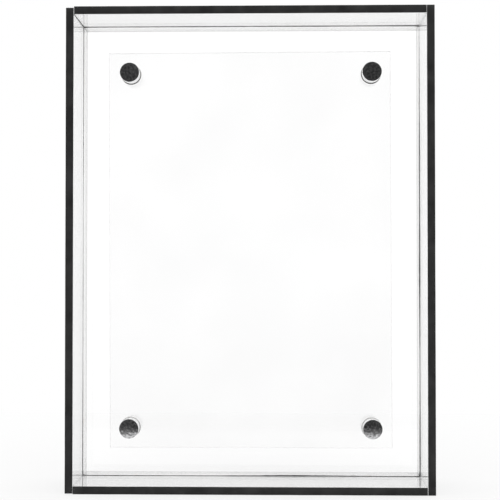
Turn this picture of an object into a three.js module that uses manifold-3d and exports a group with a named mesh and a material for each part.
// Clear acrylic license holder: an upright open tray with a cover plate that is screwed over a sheet.
// Millimetres, +Z up. The open front faces -Y and the origin lies under the middle of the base.
import * as THREE from 'three';
import { mergeVertices } from 'three/addons/utils/BufferGeometryUtils.js';
import Module from 'manifold-3d';

// Driving dimensions of the tray
const HOLDER_WIDTH = 304;
const HOLDER_HEIGHT = 402;
const WALL_SHEET = 6.35;
const PANEL_SHEET = 6.35;
const TRAY_DEPTH = 50; // from the rim's front to the panel's front face
const REAR_RECESS = 18; // how far the walls run on behind the panel
const STRIP_THICKNESS = 1.2;
const BOND_LINE = 0.1; // film of cement or adhesive between bonded pieces

// Driving dimensions of the cover plate
const PLATE_WIDTH = 243;
const PLATE_HEIGHT = 340;
const PLATE_SHEET = 3;
const SHEET_ROOM = 0.3; // room for the license between the panel and the plate

// Driving dimensions of a screw: cap, washer, stud and the insert that it turns in
const SCREW_INSET = 18; // from two edges of the plate to the screw's axis
const CAP_DIAMETER = 16.5;
const CAP_HEIGHT = 12.5;
const CAP_RIM_CHAMFER = 0.3;
const CAP_BASE_CHAMFER = 0.3;
const CAP_BORE = 6; // depth of the stud's hole in the cap's base
const WASHER_THICKNESS = 0.8;
const WASHER_LIP = 0.4; // how far the washer stands out past the cap's edge
const SEAT_GAP = 0.1; // running clearance of faces that turn or lift off
const STUD_DIAMETER = 5;
const STUD_GRIP = 4.8; // length of stud inside the panel
const STUD_POINT_CHAMFER = 0.6;
const STUD_CLEARANCE = 0.25; // all round the stud, in the cap, the insert and the holes
const INSERT_WALL = 0.7;
const INSERT_LIP = 0.7; // how far the flange stands out from the insert's body
const INSERT_FLANGE = 1;
const INSERT_CLEARANCE = 0.15; // all round the insert in its hole

// Facets round the turned pieces and the holes
const CAP_FACETS = 48;
const STUD_FACETS = 24;
const CUT_OVERRUN = 1; // how far a cutter stands past the face that it opens

// Places along the depth, counted from the rim's front
const holderDepth = TRAY_DEPTH + PANEL_SHEET + REAR_RECESS;
const rimY = -holderDepth / 2;
const rearY = holderDepth / 2;
const wallFrontY = rimY + STRIP_THICKNESS + BOND_LINE;
const panelFrontY = rimY + TRAY_DEPTH;
const panelRearY = panelFrontY + PANEL_SHEET;
const plateRearY = panelFrontY - SHEET_ROOM;
const plateFrontY = plateRearY - PLATE_SHEET;
const washerRearY = plateFrontY - SEAT_GAP;
const washerFrontY = washerRearY - WASHER_THICKNESS;
const capBaseY = washerFrontY - SEAT_GAP;
const capFaceY = capBaseY - CAP_HEIGHT;
const capHoleEndY = capBaseY - CAP_BORE;
const studFrontY = capHoleEndY + SEAT_GAP;
const studPointY = panelFrontY + STUD_GRIP;
const flangeFrontY = panelRearY - INSERT_FLANGE;

// Sizes across
const innerWidth = HOLDER_WIDTH - 2 * (WALL_SHEET + BOND_LINE);
const innerHeight = HOLDER_HEIGHT - 2 * (WALL_SHEET + BOND_LINE);
const middleZ = HOLDER_HEIGHT / 2;
const wallOffsetX = (HOLDER_WIDTH - WALL_SHEET) / 2;
const wallOffsetZ = (HOLDER_HEIGHT - WALL_SHEET) / 2;
const screwOffsetX = PLATE_WIDTH / 2 - SCREW_INSET;
const screwOffsetZ = PLATE_HEIGHT / 2 - SCREW_INSET;
const capRadius = CAP_DIAMETER / 2;
const studRadius = STUD_DIAMETER / 2;
const boreRadius = studRadius + STUD_CLEARANCE;
const insertRadius = boreRadius + INSERT_WALL;
const flangeRadius = insertRadius + INSERT_LIP;
const insertHoleRadius = insertRadius + INSERT_CLEARANCE;
const flangeHoleRadius = flangeRadius + INSERT_CLEARANCE;

// The side walls and strips run the full height, and the upper and lower ones fit between them
const sides = [
  { name: 'left', x: -wallOffsetX, z: 0, width: WALL_SHEET, height: HOLDER_HEIGHT },
  { name: 'right', x: wallOffsetX, z: 0, width: WALL_SHEET, height: HOLDER_HEIGHT },
  { name: 'top', x: 0, z: wallOffsetZ, width: innerWidth, height: WALL_SHEET },
  { name: 'bottom', x: 0, z: -wallOffsetZ, width: innerWidth, height: WALL_SHEET },
];
const screws = [
  { name: 'top_left', x: -screwOffsetX, z: screwOffsetZ },
  { name: 'top_right', x: screwOffsetX, z: screwOffsetZ },
  { name: 'bottom_left', x: -screwOffsetX, z: -screwOffsetZ },
  { name: 'bottom_right', x: screwOffsetX, z: -screwOffsetZ },
];

const clearAcrylic = new THREE.MeshStandardMaterial({
  color: 0xf2f6f6,
  roughness: 0.04,
  transparent: true,
  opacity: 0.25,
});
const blackFoam = new THREE.MeshStandardMaterial({ color: 0x323232, roughness: 0.85 });
const greyNylon = new THREE.MeshStandardMaterial({ color: 0xb0b0ae, roughness: 0.5 });
const polishedSteel = new THREE.MeshStandardMaterial({ color: 0xc9cacc, roughness: 0.12, metalness: 1 });
const plainSteel = new THREE.MeshStandardMaterial({ color: 0xa8a9ab, roughness: 0.35, metalness: 1 });
const brass = new THREE.MeshStandardMaterial({ color: 0xc8a85a, roughness: 0.3, metalness: 1 });

const wasm = await Module();
wasm.setup();

// Joins the corners that faces share, so that the mesh closes
function weld(geometry) {
  const bare = geometry.clone();
  bare.deleteAttribute('normal');
  bare.deleteAttribute('uv');
  return mergeVertices(bare);
}

function toSolid(geometry) {
  const closed = weld(geometry);
  return new wasm.Manifold(
    new wasm.Mesh({
      numProp: 3,
      vertProperties: new Float32Array(closed.attributes.position.array),
      triVerts: new Uint32Array(closed.index.array),
    }),
  );
}

function toGeometry(solid) {
  const { vertProperties, triVerts } = solid.getMesh();
  const geometry = new THREE.BufferGeometry();
  geometry.setAttribute('position', new THREE.BufferAttribute(vertProperties, 3));
  geometry.setIndex(new THREE.BufferAttribute(triVerts, 1));
  geometry.computeVertexNormals();
  return geometry;
}

function named(name, geometry, material) {
  const mesh = new THREE.Mesh(geometry, material);
  mesh.name = name;
  return mesh;
}

// A flat piece between two depths, centred across
function slab(width, height, frontY, backY) {
  const geometry = new THREE.BoxGeometry(width, backY - frontY, height);
  geometry.translate(0, (frontY + backY) / 2, 0);
  return geometry;
}

// A round cutter along the depth for a hole at one screw
function holeCutter(screw, radius, frontY, backY) {
  const geometry = new THREE.CylinderGeometry(radius, radius, backY - frontY, STUD_FACETS);
  geometry.translate(screw.x, (frontY + backY) / 2, screw.z);
  return toSolid(geometry);
}

// A piece turned about the screw's axis, from radius and depth pairs
function turned(profile, facets) {
  const points = profile.map(([radius, y]) => new THREE.Vector2(radius, y));
  return new THREE.LatheGeometry(points, facets);
}

function makePanel() {
  let solid = toSolid(slab(innerWidth, innerHeight, panelFrontY, panelRearY));
  for (const screw of screws) {
    const hole = holeCutter(screw, insertHoleRadius, panelFrontY - CUT_OVERRUN, panelRearY + CUT_OVERRUN);
    const seat = holeCutter(screw, flangeHoleRadius, flangeFrontY - BOND_LINE, panelRearY + CUT_OVERRUN);
    solid = solid.subtract(hole).subtract(seat);
  }
  return named('back_panel', toGeometry(solid), clearAcrylic);
}

function makePlate() {
  let solid = toSolid(slab(PLATE_WIDTH, PLATE_HEIGHT, plateFrontY, plateRearY));
  for (const screw of screws) {
    solid = solid.subtract(
      holeCutter(screw, boreRadius, plateFrontY - CUT_OVERRUN, plateRearY + CUT_OVERRUN),
    );
  }
  return named('cover_plate', toGeometry(solid), clearAcrylic);
}

function makeWall(side) {
  const wall = named(`${side.name}_wall`, slab(side.width, side.height, wallFrontY, rearY), clearAcrylic);
  wall.position.set(side.x, 0, side.z);
  return wall;
}

function makeStrip(side) {
  const strip = named(
    `${side.name}_edge_strip`,
    slab(side.width, side.height, rimY, rimY + STRIP_THICKNESS),
    blackFoam,
  );
  strip.position.set(side.x, 0, side.z);
  return strip;
}

// Round cap with a chamfered face and a blind hole for the stud in its base
function capGeometry() {
  return turned(
    [
      [0, capFaceY],
      [capRadius - CAP_RIM_CHAMFER, capFaceY],
      [capRadius, capFaceY + CAP_RIM_CHAMFER],
      [capRadius, capBaseY - CAP_BASE_CHAMFER],
      [capRadius - CAP_BASE_CHAMFER, capBaseY],
      [boreRadius, capBaseY],
      [boreRadius, capHoleEndY],
      [0, capHoleEndY],
    ],
    CAP_FACETS,
  );
}

function studGeometry() {
  return turned(
    [
      [0, studFrontY],
      [studRadius, studFrontY],
      [studRadius, studPointY - STUD_POINT_CHAMFER],
      [studRadius - STUD_POINT_CHAMFER, studPointY],
      [0, studPointY],
    ],
    STUD_FACETS,
  );
}

function washerGeometry() {
  const edge = capRadius + WASHER_LIP;
  return turned(
    [
      [boreRadius, washerFrontY],
      [edge, washerFrontY],
      [edge, washerRearY],
      [boreRadius, washerRearY],
      [boreRadius, washerFrontY],
    ],
    CAP_FACETS,
  );
}

// Sleeve that fills the panel's hole, with a flange let into the panel's rear face
function insertGeometry() {
  return turned(
    [
      [boreRadius, panelFrontY],
      [insertRadius, panelFrontY],
      [insertRadius, flangeFrontY],
      [flangeRadius, flangeFrontY],
      [flangeRadius, panelRearY],
      [boreRadius, panelRearY],
      [boreRadius, panelFrontY],
    ],
    STUD_FACETS,
  );
}

function makeScrew(screw) {
  const group = new THREE.Group();
  group.add(named(`${screw.name}_cap`, capGeometry(), polishedSteel));
  group.add(named(`${screw.name}_stud`, studGeometry(), plainSteel));
  group.add(named(`${screw.name}_washer`, washerGeometry(), greyNylon));
  group.add(named(`${screw.name}_insert`, insertGeometry(), brass));
  group.position.set(screw.x, 0, screw.z);
  return group;
}

const holder = new THREE.Group();
holder.position.z = middleZ;
holder.add(makePanel());
for (const side of sides) {
  holder.add(makeWall(side));
  holder.add(makeStrip(side));
}
holder.add(makePlate());
for (const screw of screws) {
  holder.add(makeScrew(screw));
}

export default holder;
